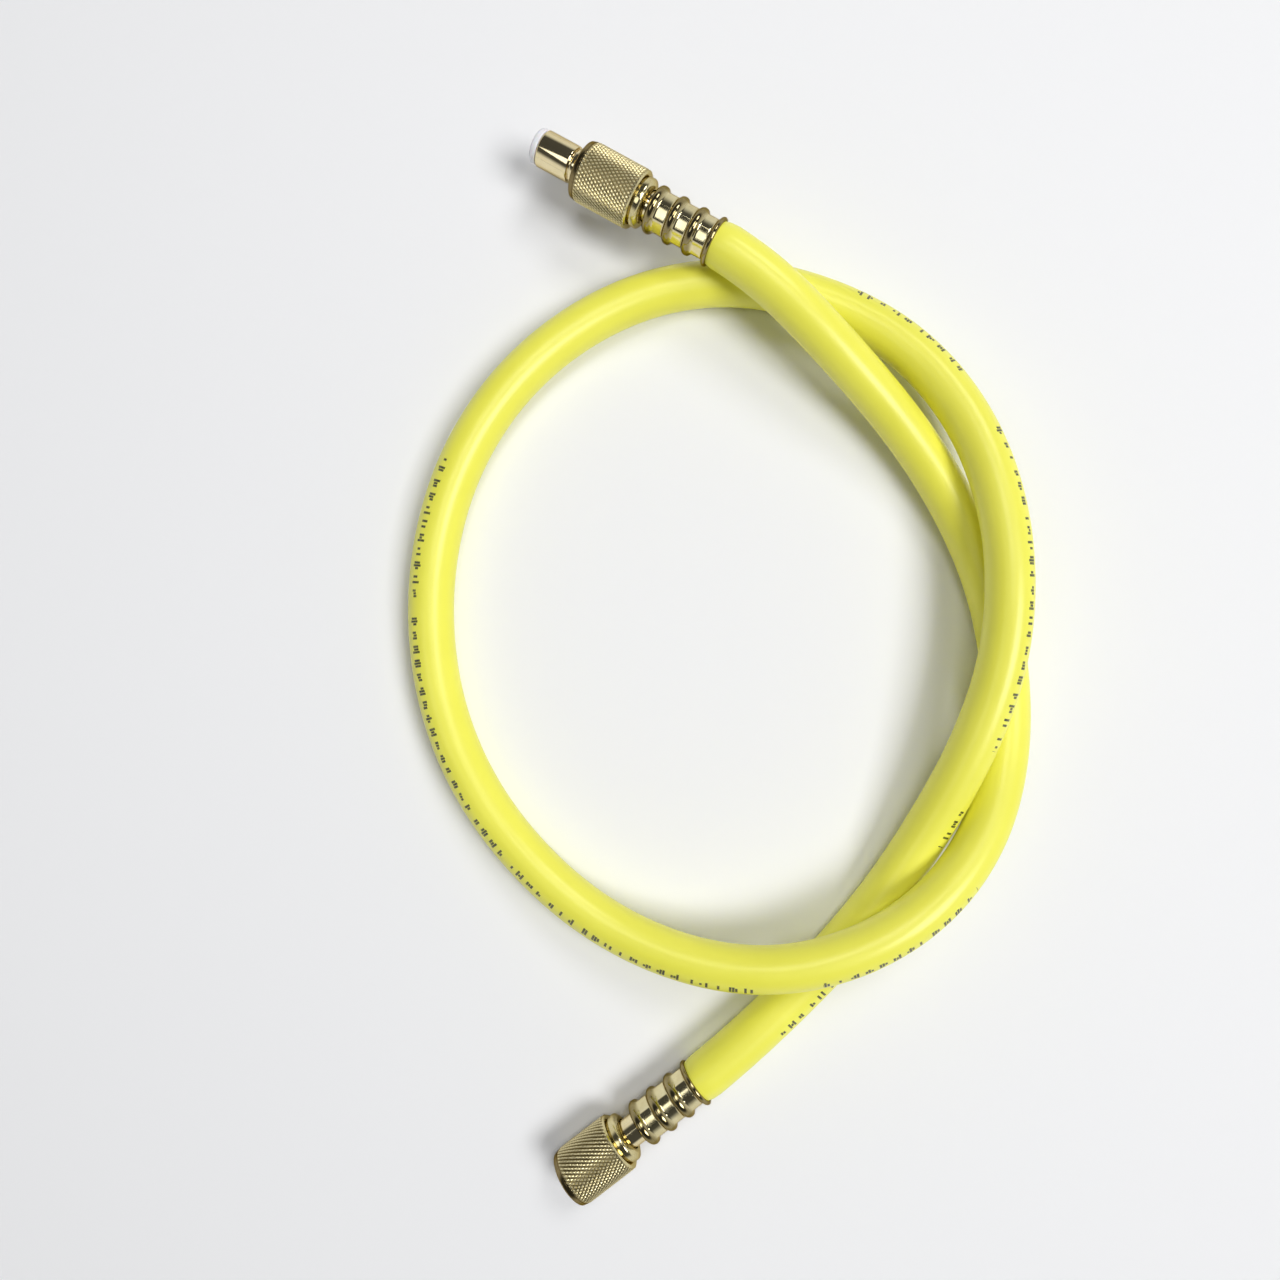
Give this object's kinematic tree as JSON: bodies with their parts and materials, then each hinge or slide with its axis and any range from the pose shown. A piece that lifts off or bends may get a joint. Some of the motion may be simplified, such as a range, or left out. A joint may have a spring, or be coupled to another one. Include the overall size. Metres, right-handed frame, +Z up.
{
  "type": "refrigerant charging hose",
  "caption": "Flexible hose lying in one loose turn, with a crimped barbed fitting and a captive knurled flare nut on each end.",
  "frame": {"origin": "on the surface that the hose lies on, under the middle of the box round the two fittings", "axes": "+Z up from the surface; -X out of the manifold end's nut; +Y across the loop, towards the service end"},
  "size_m": [0.2199, 0.237, 0.026],
  "materials": {
    "yellow_rubber": "smooth, semi-gloss",
    "knurled_brass": "diamond knurled, matt",
    "polished_brass": "bright, turned and crimped",
    "white_seal": "smooth, matt",
    "pin_steel": "turned"
  },
  "bodies": {
    "hose_assembly": {"hose": "yellow_rubber", "service_hose_end": "yellow_rubber", "manifold_hose_end": "yellow_rubber", "service_ferrule": "polished_brass", "manifold_ferrule": "polished_brass", "service_stem": "polished_brass", "manifold_stem": "polished_brass", "service_seal": "white_seal", "manifold_seal": "white_seal", "core_depressor": "pin_steel"},
    "service_nut_body": {"service_nut": "knurled_brass"},
    "manifold_nut_body": {"manifold_nut": "knurled_brass"}
  },
  "joints": [
    {"name": "service_nut_slide", "type": "slide", "parent": "hose_assembly", "child": "service_nut_body", "axis": [-0.3737, 0.9249, -0.0698], "range_m": [-0.0009, 0.0179]},
    {"name": "manifold_nut_spin", "type": "hinge", "parent": "hose_assembly", "child": "manifold_nut_body", "pos_m": [-0.0855, -0.1101, 0.0079], "axis": [-1, 0, 0], "continuous": true}
  ]
}
